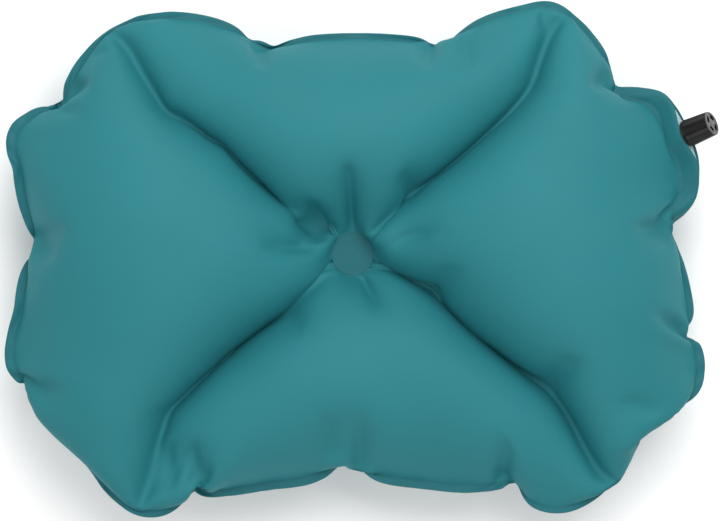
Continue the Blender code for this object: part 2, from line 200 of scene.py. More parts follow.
def curve_through(points, count):
    """Even steps along a cubic that passes through the points, with each slope from its neighbours."""
    points = np.array(points, float)
    reach = np.r_[0, np.cumsum(np.linalg.norm(np.diff(points, axis=0), axis=1))]
    slope = np.gradient(points, reach, axis=0)
    at = np.linspace(0, reach[-1], count)
    piece = np.clip(np.searchsorted(reach, at, side="right") - 1, 0, len(reach) - 2)
    length = (reach[piece + 1] - reach[piece])[:, None]
    t = (at - reach[piece])[:, None] / length
    return (
        (2 * t**3 - 3 * t**2 + 1) * points[piece] + (t**3 - 2 * t**2 + t) * length * slope[piece]
        + (3 * t**2 - 2 * t**3) * points[piece + 1] + (t**3 - t**2) * length * slope[piece + 1]
    )


def even_loop(loop, count):
    """A closed loop at `count` even steps in plan, with its first row repeated at the end."""
    loop = np.vstack([loop, loop[:1]])
    reach = np.r_[0, np.cumsum(np.linalg.norm(np.diff(loop[:, :2], axis=0), axis=1))]
    at = np.linspace(0, reach[-1], count + 1)
    return np.stack([np.interp(at, reach, column) for column in loop.T], 1)


def soften(loop, steps):
    """A closed loop, last row repeating the first, averaged by a Gaussian that many steps wide."""
    open_loop = loop[:-1]
    count = len(open_loop)
    keep = np.exp(-2 * (math.pi * np.fft.rfftfreq(count) * steps) ** 2)
    keep = keep.reshape((-1,) + (1,) * (loop.ndim - 1))
    soft = np.fft.irfft(np.fft.rfft(open_loop, axis=0) * keep, count, axis=0)
    return np.concatenate([soft, soft[:1]])


def unit(vectors):
    """Each row's direction, with a length of one."""
    return vectors / np.linalg.norm(vectors, axis=-1, keepdims=True)


def line_distance(x, y, lines):
    """Distance in plan from each point to the nearest of the given broken lines."""
    nearest = np.full(x.shape, np.inf)
    for line in lines:
        for (ax, ay), (bx, by) in zip(line, line[1:]):
            dx, dy = bx - ax, by - ay
            share = np.clip(((x - ax) * dx + (y - ay) * dy) / (dx * dx + dy * dy), 0, 1)
            nearest = np.minimum(nearest, (x - ax - share * dx) ** 2 + (y - ay - share * dy) ** 2)
    return np.sqrt(nearest)


def notches():
    """The middle of each gap between two scallops, where the rim is drawn in."""
    ends = np.array([points[-1] for _, points in SCALLOPS], float)
    starts = np.array([points[0] for _, points in SCALLOPS], float)
    return (ends + np.roll(starts, -1, axis=0)) / 2


def notch_tucks():
    """A short tuck from each notch, running in towards the middle."""
    middle = notches()
    return tuple(zip(middle.tolist(), (middle - unit(middle) * NOTCH_TUCK).tolist()))


def rim_plan(count):
    """The flange's outer edge and its width, at even steps."""
    pieces = []
    for (width, points), (_, following) in zip(SCALLOPS, SCALLOPS[1:] + SCALLOPS[:1]):
        curve = curve_through(points + (following[0],), 200)[:-1]
        pieces.append(np.column_stack([curve, np.full(len(curve), width)]))
    return even_loop(np.concatenate(pieces), count)


def cut_plan(count, rim_length):
    """The flat cloth's edge, rounded at its corners, from the point that becomes the first pucker."""
    fine = even_loop(np.array(CUT, float), 4000)[:-1]
    fine = np.roll(fine, round(4000 * CUT_START / rim_length), axis=0)
    fine = np.concatenate([fine, fine[:1]])
    return even_loop(soften(fine, CUT_ROUNDING)[:-1], count)


def plan_of(columns):
    """Where the welded seam, the flange and the flat cloth run, one entry for each column.

    Near the valve the flange widens, points along the valve and tilts with it."""
    rim = rim_plan(columns)
    edge, width = rim[:, :2], rim[:, 2]
    from_notch = np.linalg.norm(edge[:, None] - notches(), axis=2).min(1)
    length = np.linalg.norm(np.diff(edge, axis=0), axis=1).sum()
    cut = cut_plan(columns, length)

    along = (edge - VALVE_EDGE[:2]) @ RIM[:2]
    at_valve = edge[:, 0] > VALVE_EDGE[0] - VALVE_BLEND_END
    share = np.interp(np.abs(along), [VALVE_FLAT_HALF, VALVE_BLEND_END], [1, 0]) * at_valve
    share = smooth_step(share)
    width = soften(width, columns * WIDTH_BLUR)
    width = width * (1 - PUCKER_NARROWING * bell(from_notch, PUCKER_REACH))
    width = width + (VALVE_FLANGE_WIDTH - width) * share

    guide = soften(edge, columns * GUIDE_BLUR)[:-1]
    tangent = unit(np.roll(guide, -1, axis=0) - np.roll(guide, 1, axis=0))
    level = np.stack([-tangent[:, 1], tangent[:, 0]], 1)
    level = np.vstack([level, level[:1]])
    share = share[:, None]
    level = unit(level * (1 - share) + unit(OUT[:2]) * share)
    tilt = VALVE_TILT * share
    outward = np.concatenate([level * np.cos(tilt), np.sin(tilt)], 1)
    upward = np.concatenate([-level * np.sin(tilt), np.cos(tilt)], 1)

    soft_edge = soften(edge, SEAM_SOFTNESS / length * columns)
    soft_edge += (edge - soft_edge) * share
    set_back = SEAM_SET_BACK + (1 - SEAM_SET_BACK) * share
    drawn_in = NOTCH_DEPTH * bell(from_notch[:, None], NOTCH_REACH) * (1 - share)
    edge = edge - level * drawn_in
    seam = soft_edge - outward[:, :2] * width[:, None] * set_back - level * drawn_in

    room = np.where(at_valve, np.interp(np.abs(along), *MOUNT_ROOM), 0.0)
    return {
        "edge": edge, "cut": cut, "width": width, "seam": seam, "share": share[:, 0],
        "outward": outward, "upward": upward, "room": room,
    }


# Cloth


def flat_cloth(plan, rows, flange_rows, weld_radius):
    """The uninflated cloth as rows from the centre weld to the seam and then across the flange."""
    direction = unit(plan["cut"])
    weld = direction * weld_radius
    seam = plan["cut"] - direction * plan["width"][:, None]
    share = np.linspace(0, 1, rows + 1)[:, None, None]
    flange = np.linspace(0, 1, flange_rows + 1)[1:, None, None]
    return np.concatenate([weld + (seam - weld) * share, seam + (plan["cut"] - seam) * flange])


def start_shape(plan, rows, flange_rows, weld_radius):
    """Two shallow mirrored domes with valleys along the creases, as [xyz, layer, row, column]."""
    weld = unit(plan["seam"]) * weld_radius
    share = np.linspace(0, 1, rows + 1)[:, None, None]
    flange = np.linspace(0, 1, flange_rows + 1)[1:, None, None]
    inner = weld + (plan["seam"] - weld) * share
    outer = plan["seam"] + (plan["edge"] - plan["seam"]) * flange
    valley = bell(line_distance(inner[..., 0], inner[..., 1], CREASES), START_VALLEY_WIDTH)
    height = np.sin(np.pi * share[..., 0] ** START_FULLNESS) * START_CREST * (1 - START_VALLEY * valley)
    top = np.concatenate([inner, height[..., None]], 2)
    top = np.concatenate([top, np.pad(outer, ((0, 0), (0, 0), (0, 1)))])
    return np.ascontiguousarray(np.moveaxis(np.stack([top, top * (1, 1, -1)]), -1, 0))


def refine(shape):
    """Twice as many rows and columns, with each new point halfway between its neighbours."""
    tall = np.empty(shape.shape[:2] + (shape.shape[2] * 2 - 1, shape.shape[3]), shape.dtype)
    tall[:, :, ::2] = shape
    tall[:, :, 1::2] = (shape[:, :, 1:] + shape[:, :, :-1]) / 2
    fine = np.empty(tall.shape[:3] + (tall.shape[3] * 2 - 1,), shape.dtype)
    fine[..., ::2] = tall
    fine[..., 1::2] = (tall[..., 1:] + tall[..., :-1]) / 2
    return fine


def cloth_links(flat):
    """Groups of links whose ends are all different, with rest lengths from the flat cloth.

    Each is (first ends, second ends, lengths, stretch stiffness, squeeze stiffness, seam copy)."""
    flat = np.moveaxis(flat, -1, 0)
    rows, columns = flat.shape[1:]
    every = slice(None)
    links = []

    def add(first, second, stretch, squeeze, copy):
        """Adds the links from one set of points to another, over both layers."""
        length = np.linalg.norm(flat[(every,) + first] - flat[(every,) + second], axis=0)
        whole = (every, every)
        links.append((whole + first, whole + second, length.astype(np.float32), stretch, squeeze, copy))

    pairs = (
        (slice(0, columns - 1, 2), slice(1, columns - 1, 2), "last"),
        (slice(1, columns - 1, 2), slice(2, columns, 2), "first"),
    )
    for here, there, copy in pairs:
        add((every, here), (every, there), 1.0, 0.35, copy)
        add((slice(0, rows - 1), here), (slice(1, rows), there), 0.6, 0.15, copy)
        add((slice(1, rows), here), (slice(0, rows - 1), there), 0.6, 0.15, copy)
    half = (rows - 1) // 2
    add((slice(0, rows - 1, 2), every), (slice(1, rows, 2), every), 1.0, 0.6, None)
    add((slice(1, 2 * half, 2), every), (slice(2, 2 * half + 1, 2), every), 1.0, 0.6, None)
    return links


def surface_push(shape, pressure):
    """A step along each point's outward normal, from the cross product of its neighbours' spans."""
    across = np.empty_like(shape)
    across[..., 1:-1] = shape[..., 2:] - shape[..., :-2]
    across[..., 0] = across[..., -1] = shape[..., 1] - shape[..., -2]
    down = np.empty_like(shape)
    down[:, :, 1:-1] = shape[:, :, 2:] - shape[:, :, :-2]
    down[:, :, 0] = shape[:, :, 1] - shape[:, :, 0]
    down[:, :, -1] = shape[:, :, -1] - shape[:, :, -2]
    normal = np.cross(across, down, axis=0)
    normal[:, 1] *= -1
    return normal * (pressure / (np.linalg.norm(normal, axis=0) + 1e-9))


def pull_links(shape, links):
    """Moves the ends of every link towards its rest length, harder when it is stretched."""
    for first, second, length, stretch, squeeze, copy in links:
        start, end = shape[first], shape[second]
        span = end - start
        reach = np.sqrt((span * span).sum(0)) + np.float32(1e-9)
        share = (reach - length) / reach
        share *= np.where(share > 0, np.float32(stretch / 2), np.float32(squeeze / 2))
        span *= share
        start += span
        end -= span
        if copy == "last":
            shape[..., -1] = shape[..., 0]
        elif copy == "first":
            shape[..., 0] = shape[..., -1]


def stiffen(shape, seam_row, stiffness):
    """Takes out part of the sharpest bending, round the columns and then along the rows."""
    ring = shape[..., :-1]
    bend = (np.roll(ring, 1, -1) + np.roll(ring, -1, -1)) / 2 - ring
    ring -= np.float32(stiffness) * ((np.roll(bend, 1, -1) + np.roll(bend, -1, -1)) / 2 - bend)
    shape[..., -1] = shape[..., 0]
    bend = np.zeros_like(shape)
    bend[:, :, 1:-1] = (shape[:, :, 2:] + shape[:, :, :-2]) / 2 - shape[:, :, 1:-1]
    bend[:, :, seam_row] = 0
    uneven = (bend[:, :, 2:] + bend[:, :, :-2]) / 2 - bend[:, :, 1:-1]
    shape[:, :, 1:-1] -= np.float32(ROW_STIFFNESS * stiffness) * uneven


def weld(shape, seam_row):
    """Both layers share one place from the seam outwards."""
    shape[:, :, seam_row:] = shape[:, :, seam_row:].mean(1, keepdims=True)


def rim_wave(columns, strength):
    """Slow rise and fall of the seam round the rim, as a sum of two sines."""
    turn = np.linspace(0, 2 * np.pi, columns + 1)
    return strength * (np.sin(7 * turn + 0.6) + 0.7 * np.sin(17 * turn + 2.1))


def settle(shape, plan, level, steps, sizes):
    """Position-based cloth: push out, hold the links, the welds and the floor, and let it rest."""
    seam_row = ROWS * level
    columns = shape.shape[3] - 1
    pressure = PRESSURE / level
    links = cloth_links(flat_cloth(plan, seam_row, level, sizes.weld_radius / MM))
    seam = plan["seam"].T.astype(np.float32)[:, None]
    edge = plan["edge"].T.astype(np.float32)[:, None]
    wave = rim_wave(columns, sizes.rim_wave / MM) * (1 - plan["share"])
    hub = shape[:, :, 0].copy()
    hub[2] = np.array([[SHEET], [-SHEET]])
    speed = np.zeros_like(shape)
    tuck = 0.0
    inner = np.s_[2:seam_row - 1]
    rim_tucks = RIM_TUCKS + notch_tucks()
    near_weld = np.s_[:2, :, 1:seam_row // 4]
    weld_reach = np.float32(sizes.weld_radius / MM + WELD_CLEAR)
    for step in range(steps):
        if step % GUIDE_INTERVAL == 0:
            x, y = shape[0, :, inner], shape[1, :, inner]
            crease = bell(line_distance(x, y, CREASES), CREASE_WIDTH[level])
            crease *= np.interp(np.hypot(x, y), *CREASE_STRENGTH)
            crease = (crease * sizes.crease_pull * pressure).astype(np.float32)
            if level == LEVELS[-1][0]:
                tuck = np.zeros(shape.shape[1:], np.float32)
                near = bell(line_distance(x, y, rim_tucks), sizes.tuck_width / MM)
                near += bell(line_distance(x, y, HUB_TUCKS), sizes.hub_tuck_width / MM)
                from_weld = np.hypot(x, y) - sizes.weld_radius / MM
                near += HUB_EASE * bell(from_weld, HUB_EASE_REACH)
                tuck[:, inner] = near * sizes.tuck_pull
        before = shape.copy()
        push = surface_push(shape, pressure) * (1 - tuck)
        shape += speed * np.float32(DAMPING)
        shape[:, :, :seam_row] += push[:, :, :seam_row]
        shape[2, 0, inner] -= crease[0]
        shape[2, 1, inner] += crease[1]
        for _ in range(PASSES):
            pull_links(shape, links)
            weld(shape, seam_row)
            shape[:, :, 0] = hub
            reach = np.sqrt((shape[near_weld] ** 2).sum(0))
            shape[near_weld] *= np.maximum(reach, weld_reach) / reach
            shape[:2, :, seam_row] += (seam - shape[:2, :, seam_row]) * np.float32(SEAM_PULL)
            shape[:2, :, -1] += (edge - shape[:2, :, -1]) * np.float32(EDGE_PULL)
            shape[2, :, seam_row] += (wave - shape[2, :, seam_row]) * np.float32(LEVEL_PULL)
            shape[2, 0, 1:seam_row] = np.maximum(shape[2, 0, 1:seam_row], wave + SHEET)
            shape[2, 1, 1:seam_row] = np.minimum(shape[2, 1, 1:seam_row], wave - SHEET)
            np.maximum(shape[2, 1], np.float32(FLOOR_LEVEL), out=shape[2, 1])
        stiffen(shape, seam_row, STIFFNESS[level])
        shape[:, :, 0] = hub
        weld(shape, seam_row)
        speed = shape - before


def inflate(sizes):
    """The inflated layers as [xyz, layer, row, column], from coarse cloth to fine."""
    shape = None
    finest = LEVELS[-1][0]
    for level, steps in LEVELS:
        plan = plan_of(COLUMNS * level)
        if shape is None:
            shape = start_shape(plan, ROWS, level, sizes.weld_radius / MM).astype(np.float32)
        else:
            shape = refine(shape)
        settle(shape, plan, level, steps, sizes)
    while shape.shape[3] < COLUMNS * finest:
        shape = refine(shape)
    return shape.astype(float), plan_of(COLUMNS * finest)


def fit_round_mount(shape, plan, flat, seam_row):
    """Sets the flange at the valve's tilt and parts the layers round the valve's mount."""
    share = plan["share"]
    rise = plan["width"] * np.sin(VALVE_TILT * share)
    edge = np.stack([plan["edge"][:, 0], plan["edge"][:, 1], rise])[:, None]
    seam = shape[:, 0, seam_row][:, None]
    across = np.linspace(0, 1, shape.shape[2] - seam_row)[:, None]
    flange = seam + (edge - seam) * across
    welded = shape[:, :, seam_row:]
    welded += (flange[:, None] - welded) * share
    from_seam = np.linalg.norm(flat - flat[seam_row], axis=-1)
    fade = bell(from_seam, MOUNT_FADE)
    fade[seam_row:] = 1.0
    part = plan["upward"].T[:, None] * (plan["room"] * fade)
    shape[:, 0] += part
    shape[:, 1] -= part
    step = plan["upward"].T[:, None] * SHEET
    shape[:, 0, seam_row:] += step
    shape[:, 1, seam_row:] -= step


def panel_surface(shape, plan, flat, layer, sizes):
    """One panel as a closed sheet: its outer face from the centre to the rim, the rim, and its
    inner face back to the centre. Returns points, flat cloth places and weld share by row."""
    side = 1 - 2 * layer
    seam_row = ROWS * LEVELS[-1][0]
    outer = np.moveaxis(shape[:, layer], 0, -1)[:, :-1]
    radius, height = np.array(WELD_PROFILE).T
    radius = radius * sizes.weld_radius / MM
    around = unit(outer[0, :, :2])
    disc = np.concatenate([
        around * radius[:, None, None],
        np.broadcast_to((side * (SHEET + height))[:, None, None], (len(radius), len(around), 1)),
    ], 2)
    outer = np.concatenate([disc, outer])
    flat_disc = unit(flat[0, :-1]) * radius[:, None, None]
    cloth = np.concatenate([flat_disc, flat[:, :-1]])

    down = np.gradient(outer, axis=0)
    across = np.roll(outer, -1, axis=1) - np.roll(outer, 1, axis=1)
    normal = unit(np.cross(across, down)) * side
    welded = len(radius) + seam_row
    normal[:len(radius) + 1] = (0, 0, side)
    normal[welded:] = plan["upward"][:-1] * side
    inner = outer - normal * (SHEET - JOIN_GAP)
    lip = (outer[-1:] + inner[-1:]) / 2 + plan["outward"][:-1] * SHEET / 3
    points = np.concatenate([outer, lip, inner[::-1]])
    cloth = np.concatenate([cloth, cloth[-1:], cloth[::-1]])
    share = np.zeros(len(outer))
    share[:len(radius) + 1] = 1
    share[welded:] = 1
    share = np.concatenate([share, share[-1:], share[::-1]])
    return points, cloth, np.repeat(share[:, None], points.shape[1], axis=1)


# Meshes


def faces_of_grid(rows, columns, closed_rows=False):
    """Quads of a grid whose columns run round, and whose rows may too."""
    row = np.arange(rows if closed_rows else rows - 1)[:, None]
    column = np.arange(columns)
    below = (row + 1) % rows
    beside = (column + 1) % columns
    return np.stack([
        row * columns + column, row * columns + beside,
        below * columns + beside, below * columns + column,
    ], -1).reshape(-1, 4)


def signed_volume(points, faces):
    """Six times the volume inside quads, negative when they face inwards."""
    a, b, c, d = (points[faces[:, corner]] for corner in range(4))
    return (a * np.cross(b, c)).sum() + (a * np.cross(c, d)).sum()


def new_object(name, points, faces, material):
    """A smooth-shaded mesh object at the origin, from points in metres."""
    mesh = bpy.data.meshes.new(name)
    mesh.from_pydata(points.tolist(), [], faces)
    mesh.shade_smooth()
    mesh.materials.append(material)
    made = bpy.data.objects.new(name, mesh)
    bpy.context.scene.collection.objects.link(made)
    return made


def grid_object(name, grid, material, poles=None, closed_rows=False):
    """A closed surface from a grid of points in metres. Poles are the middles of its end rows."""
    rows, columns = grid.shape[:2]
    points = grid.reshape(-1, 3)
    quads = faces_of_grid(rows, columns, closed_rows)
    inward = signed_volume(points, quads) < 0
    if inward:
        quads = quads[:, ::-1]
    faces = quads.tolist()
    if poles is not None:
        ring = np.arange(columns)
        beside = np.roll(ring, -1)
        last = (rows - 1) * columns
        fans = [
            np.stack([np.full(columns, len(points)), beside, ring], 1),
            np.stack([np.full(columns, len(points) + 1), ring + last, beside + last], 1),
        ]
        for fan in fans:
            faces += (fan[:, ::-1] if inward else fan).tolist()
        points = np.concatenate([points, poles])
    return new_object(name, points, faces, material)


def in_frame(points):
    """Panel places in millimetres about the centre weld, as metres in the frame."""
    return CENTRE + points * MM


def on_valve(x, y, z):
    """Valve places in millimetres along the rim, up and out, as metres in the frame."""
    x, y, z = np.broadcast_arrays(x, y, z)
    return AXIS_POINT + (x[..., None] * RIM + y[..., None] * UP + z[..., None] * OUT) * MM


def round_valve(radius, angle, height):
    """Places round the valve's axis in millimetres, as metres in the frame."""
    return on_valve(radius * np.cos(angle), radius * np.sin(angle), height)


# Finishes


def finish_nodes(name, values):
    """A new material with its shader's own values set. Returns the material, tree and shader."""
    material = bpy.data.materials.new(name)
    material.use_nodes = True
    tree = material.node_tree
    shader = tree.nodes["Principled BSDF"]
    for socket, value in values.items():
        shader.inputs[socket].default_value = value
    return material, tree, shader


def add_node(tree, kind, inputs=None, **settings):
    """A node of a kind, with its settings, and its inputs as values or as sockets to link."""
    node = tree.nodes.new(kind)
    for setting, value in settings.items():
        setattr(node, setting, value)
    for socket, value in (inputs or {}).items():
        if isinstance(value, bpy.types.NodeSocket):
            tree.links.new(value, node.inputs[socket])
        else:
            node.inputs[socket].default_value = value
    return node


def noise(tree, coordinate, size, detail=2.0):
    """Noise whose features are about the given size in metres."""
    return add_node(tree, "ShaderNodeTexNoise", {
        "Vector": coordinate, "Scale": 1 / size, "Detail": detail,
    }).outputs["Fac"]


def stretch(tree, value, low, high, new_low, new_high):
    """Maps one range of a value to another."""
    return add_node(tree, "ShaderNodeMapRange", {
        "Value": value, "From Min": low, "From Max": high, "To Min": new_low, "To Max": new_high,
    }).outputs["Result"]


def mix_colour(tree, share, first, second):
    """A colour between two, by a share from 0 to 1."""
    inputs = {0: share, 6: first, 7: second}
    return add_node(tree, "ShaderNodeMix", inputs, data_type="RGBA").outputs[2]


def math_node(tree, operation, first, second):
    """One sum, product or difference of two values."""
    return add_node(tree, "ShaderNodeMath", {0: first, 1: second}, operation=operation).outputs[0]


def bump(tree, height, distance, strength=1.0, under=None):
    """Raises the surface by a height from 0 to 1 times a distance in metres."""
    inputs = {"Height": height, "Distance": distance, "Strength": strength}
    if under is not None:
        inputs["Normal"] = under
    return add_node(tree, "ShaderNodeBump", inputs).outputs["Normal"]


def shade(colour, factor):
    """A colour with its red, green and blue scaled, and full cover."""
    return tuple(min(channel * factor, 1.0) for channel in colour[:3]) + (1.0,)


def panel_finish(sizes):
    """Plain-woven cloth on the flat pattern's own coordinates, pressed smooth where it is welded and darker
    there: partly the weld's own tone, partly painted shade of the lobes on the flange.
    """
    material, tree, shader = finish_nodes("panel_fabric", {
        "Sheen Weight": 0.2, "Sheen Roughness": 0.45, "Specular IOR Level": 0.2,
        "Sheen Tint": shade(sizes.fabric_colour, 3.0),
    })
    cloth = add_node(tree, "ShaderNodeUVMap", uv_map="cloth").outputs["UV"]
    place = add_node(tree, "ShaderNodeTexCoord").outputs["Object"]
    welded = add_node(tree, "ShaderNodeAttribute", attribute_name="welded").outputs["Fac"]

    wave_length = 2 * math.pi / 20
    waves = [
        add_node(tree, "ShaderNodeTexWave", {
            "Vector": cloth, "Scale": wave_length / sizes.weave_pitch, "Distortion": 0.0,
        }, bands_direction=direction).outputs["Fac"]
        for direction in ("X", "Y")
    ]
    centred = [stretch(tree, wave, 0, 1, -1, 1) for wave in waves]
    weave = stretch(tree, math_node(tree, "MULTIPLY", *centred), -1, 1, 0, 1)

    cloudy = noise(tree, place, 0.05, 3.0)
    fibre = noise(tree, cloth, 0.0011, 4.0)
    base = mix_colour(tree, cloudy, shade(sizes.fabric_colour, 0.92), shade(sizes.fabric_colour, 1.08))
    thread = math_node(tree, "ADD", math_node(tree, "MULTIPLY", fibre, 0.7),
                       math_node(tree, "MULTIPLY", weave, 0.3))
    bright = stretch(tree, thread, 0.25, 0.75, 0, 0.22)
    base = mix_colour(tree, bright, base, shade(sizes.fabric_colour, 1.6))
    # Painted shade: the welded flange and centre weld take a darker colour, partly the pressed weld's own
    # tone and partly shade from the lobes beside them.
    weld_and_painted_shade_colour = mix_colour(tree, fibre, shade(sizes.weld_and_painted_shade_colour, 0.9), shade(sizes.weld_and_painted_shade_colour, 1.1))
    colour = mix_colour(tree, welded, base, weld_and_painted_shade_colour)
    tree.links.new(colour, shader.inputs["Base Color"])

    rough = stretch(tree, fibre, 0.3, 0.7, 0.55, 0.7)
    rough = math_node(tree, "SUBTRACT", rough, math_node(tree, "MULTIPLY", welded, 0.12))
    tree.links.new(rough, shader.inputs["Roughness"])

    slack = bump(tree, noise(tree, place, 0.012, 3.0), 0.0004, 0.35)
    raised = bump(tree, weave, 0.00006, 0.6, under=slack)
    tree.links.new(bump(tree, fibre, 0.0001, 0.4, under=raised), shader.inputs["Normal"])
    return material


def mottled_finish(name, specular, base, mottle, tones, gloss, relief=None):
    """A colour and roughness that vary together with noise, over a finer relief.

    mottle is the noise's size and detail, tones and gloss the colour's factors and the roughness at
    its ends, and relief another noise's size and detail, then the bump's distance and strength."""
    material, tree, shader = finish_nodes(name, {"Specular IOR Level": specular})
    place = add_node(tree, "ShaderNodeTexCoord").outputs["Object"]
    patches = noise(tree, place, *mottle)
    colour = mix_colour(tree, patches, shade(base, tones[0]), shade(base, tones[1]))
    tree.links.new(colour, shader.inputs["Base Color"])
    tree.links.new(stretch(tree, patches, 0.3, 0.7, *gloss), shader.inputs["Roughness"])
    if relief is not None:
        raised = bump(tree, noise(tree, place, *relief[:2]), *relief[2:])
        tree.links.new(raised, shader.inputs["Normal"])
    return material


def plastic_finish(name, base, roughness):
    """Moulded plastic with fine spark-eroded grain and slightly uneven gloss."""
    gloss = (roughness - 0.06, roughness + 0.06)
    return mottled_finish(name, 0.4, base, (0.004, 2.0), (0.8, 1.3), gloss, (0.00025, 3.0, 0.00004, 0.5))


def film_finish(settings):
    """Pale weldable film with soft wrinkles and a slight gloss."""
    return mottled_finish("weld_film", 0.5, settings.film_colour, (0.0022, 4.0), (0.72, 1.2),
                          (0.28, 0.45), (0.0022, 4.0, 0.0008, 0.6))


def rubber_finish(settings):
    """Matt rubber with a dusty bloom and a fine grain."""
    return mottled_finish("seal_rubber", 0.3, settings.rubber_colour, (0.003, 3.0), (0.7, 1.6),
                          (0.72, 0.88), (0.0004, 2.0, 0.00005, 0.5))


def floor_finish(settings):
    """Pale seamless paper with a trace of grain."""
    return mottled_finish("studio_floor", 0.1, settings.floor_colour, (0.3, 2.0), (0.99, 1.0), (0.9, 0.9))


# Valve shapes, in millimetres: x along the rim, y up and z out along the axis


def thread_height(turn, height, start, turns, lead, width):
    """A thread's height from 0 to 1: the nearest turn of a right-hand helix, with faded ends.

    turn is in whole turns and height is along the axis, and both may be arrays."""
    place = (height - start) / lead - turn
    nearest = np.round(place)
    offset = np.abs(place - nearest) * lead
    travelled = nearest + turn
    ends = smooth_step(travelled / 0.12) * smooth_step((turns - travelled) / 0.12)
    return smooth_step((width / 2 - offset) / (width * 0.22)) * ends


def with_steps(profile, start, end, spacing):
    """A profile with extra rows between two heights, so that a thread on it has a fine grid."""
    radius, height = np.array(profile, float).T
    reach = np.r_[0, np.cumsum(np.hypot(np.diff(radius), np.diff(height)))]
    first, last = (np.interp(limit, height, reach) for limit in (start, end))
    extra = np.arange(first, last, spacing)
    at = np.unique(np.concatenate([reach, extra]))
    return np.interp(at, reach, radius), np.interp(at, reach, height)


THREAD_LEAD = 3.0
THREAD_WIDTH = 1.1
STEM_THREAD = (1.9, 1.6)
CAP_THREAD = (3.4, 0.5)
STEM_BORE = 3.35
STEM_THREAD_CREST = 0.62
CAP_THREAD_CREST = 0.6
STEM_OUTSIDE = (
    (4.4, -16.0), (4.7, -15.9), (4.8, -15.6), (4.8, -14.3), (5.75, -13.1), (5.8, -13.0), (5.75, -12.9),
    (4.85, -12.85), (4.8, -12.7), (4.8, 0.05), (6.3, 0.1), (6.9, 0.18), (7.2, 0.4), (7.25, 0.65),
    (7.2, 0.9), (7.0, 1.1), (6.6, 1.18), (5.0, 1.2), (4.8, 1.3), (4.8, 10.9), (4.7, 11.2), (4.4, 11.3),
)
STEM_INSIDE = ((3.65, 11.3), (3.4, 11.2), (STEM_BORE, 10.9), (STEM_BORE, -15.6), (3.45, -15.9), (3.7, -16.0))

CAP_BORE = 5.7
CAP_BOTTOM = 1.4
CAP_TOP = 16.6
CAP_FLOOR = 16.25
CAP_WALL_INNER = 15.1
CAP_GROOVE = (7.4, 9.0)
PORT_CELL = (2.4, 5.4)
PORT_HALF_DEPTH = 1.1
PORT_HALF_ANGLE = math.radians(27)
PORT_CORNER_POWER = 5.0
CELL_STEPS = 72
CAP_FACE_DEPTH = 0.1
CAP_FACE_TURN = 0.35
CAP_SHARP_ANGLE = math.radians(45)
SHARP_ANGLE = math.radians(50)


def stem_grid(columns=128):
    """The stem's section turned about its axis, with its thread raised on the outside."""
    radius, height = with_steps(STEM_OUTSIDE, 1.3, 8.0, 0.12)
    inside = np.array(STEM_INSIDE)
    turn = np.arange(columns) / columns
    ridge = thread_height(turn, height[:, None], *STEM_THREAD, THREAD_LEAD, THREAD_WIDTH)
    ridge *= (height > CAP_BOTTOM)[:, None]
    outside = radius[:, None] + STEM_THREAD_CREST * ridge
    radius = np.concatenate([outside, np.repeat(inside[:, :1], columns, axis=1)])
    height = np.concatenate([height, inside[:, 1]])[:, None]
    angle = 2 * np.pi * turn
    return round_valve(radius, angle, height)


def cap_angles():
    """Angles round the cap, closer together in the middle of each quarter, as its port's grid is."""
    share = np.arange(CELL_STEPS) / CELL_STEPS * 2 - 1
    quarter = np.tan(share * np.pi / 4)
    return ((np.arange(4)[:, None] + 0.5 + quarter / 2) * np.pi / 2).ravel()


def grip_valley(angle, settings):
    """0 on the smooth lands and the ribs' crests, 1 in the grooves between the ribs."""
    place = (angle * settings.rib_groups / (2 * np.pi)) % 1.0
    ribs = place / settings.rib_share * settings.ribs_in_group
    groove = 1 - np.abs(np.sin(np.pi * ribs))
    return np.where(place <= settings.rib_share, smooth_step(groove * 1.6), 0.0)


def cap_shell(settings):
    """The cap's section turned about its axis, from the end face over the side and up the bore."""
    wide, slim = settings.cap_radius / MM, settings.cap_top_radius / MM
    side_heights = np.linspace(CAP_TOP - 1.0, CAP_BOTTOM + 0.6, 40)
    side = np.interp(side_heights, (CAP_BOTTOM, CAP_TOP), (wide, slim))
    top = (
        (PORT_CELL[1], CAP_FLOOR), (slim - 1.45, CAP_FLOOR), (slim - 1.35, CAP_FLOOR + 0.06),
        (slim - 1.28, CAP_TOP - 0.06), (slim - 1.15, CAP_TOP), (slim - 0.7, CAP_TOP),
        (slim - 0.4, CAP_TOP - 0.08), (slim - 0.18, CAP_TOP - 0.25), (slim - 0.04, CAP_TOP - 0.55),
    )
    bottom = (
        (wide - 0.04, CAP_BOTTOM + 0.4), (wide - 0.2, CAP_BOTTOM + 0.12), (wide - 0.45, CAP_BOTTOM),
        (CAP_BORE + 0.2, CAP_BOTTOM), (CAP_BORE + 0.05, CAP_BOTTOM + 0.08),
    )
    low, high = CAP_GROOVE
    bore = ((CAP_BORE, CAP_BOTTOM + 0.25), (CAP_BORE, low))
    bore = np.stack(with_steps(bore, CAP_BOTTOM + 0.25, 7.0, 0.14), 1)
    groove = (
        (6.3, low), (6.35, low + 0.05), (6.35, high - 0.05), (6.3, high), (CAP_BORE, high),
        (CAP_BORE, CAP_WALL_INNER - 0.1), (CAP_BORE - 0.1, CAP_WALL_INNER), (PORT_CELL[1], CAP_WALL_INNER),
    )
    outside = np.concatenate([top, np.stack([side, side_heights], 1), bottom])
    inside = np.concatenate([bore, groove])
    angle = cap_angles()
    level = outside[:, 1]
    fade = smooth_step((CAP_TOP - 0.5 - level) / 1.2) * smooth_step((level - CAP_BOTTOM) / 0.7)
    on_side = (outside[:, 0] > slim - 0.3) * fade
    reach = outside[:, :1] - settings.rib_depth / MM * on_side[:, None] * grip_valley(angle, settings)
    ridge = thread_height(angle / (2 * np.pi), inside[:, 1:], *CAP_THREAD, THREAD_LEAD, THREAD_WIDTH)
    ridge *= (inside[:, 1:] < low)
    radius = np.concatenate([reach, inside[:, :1] - CAP_THREAD_CREST * ridge])
    height = np.concatenate([outside, inside])[:, 1:]
    return round_valve(radius, angle, height)


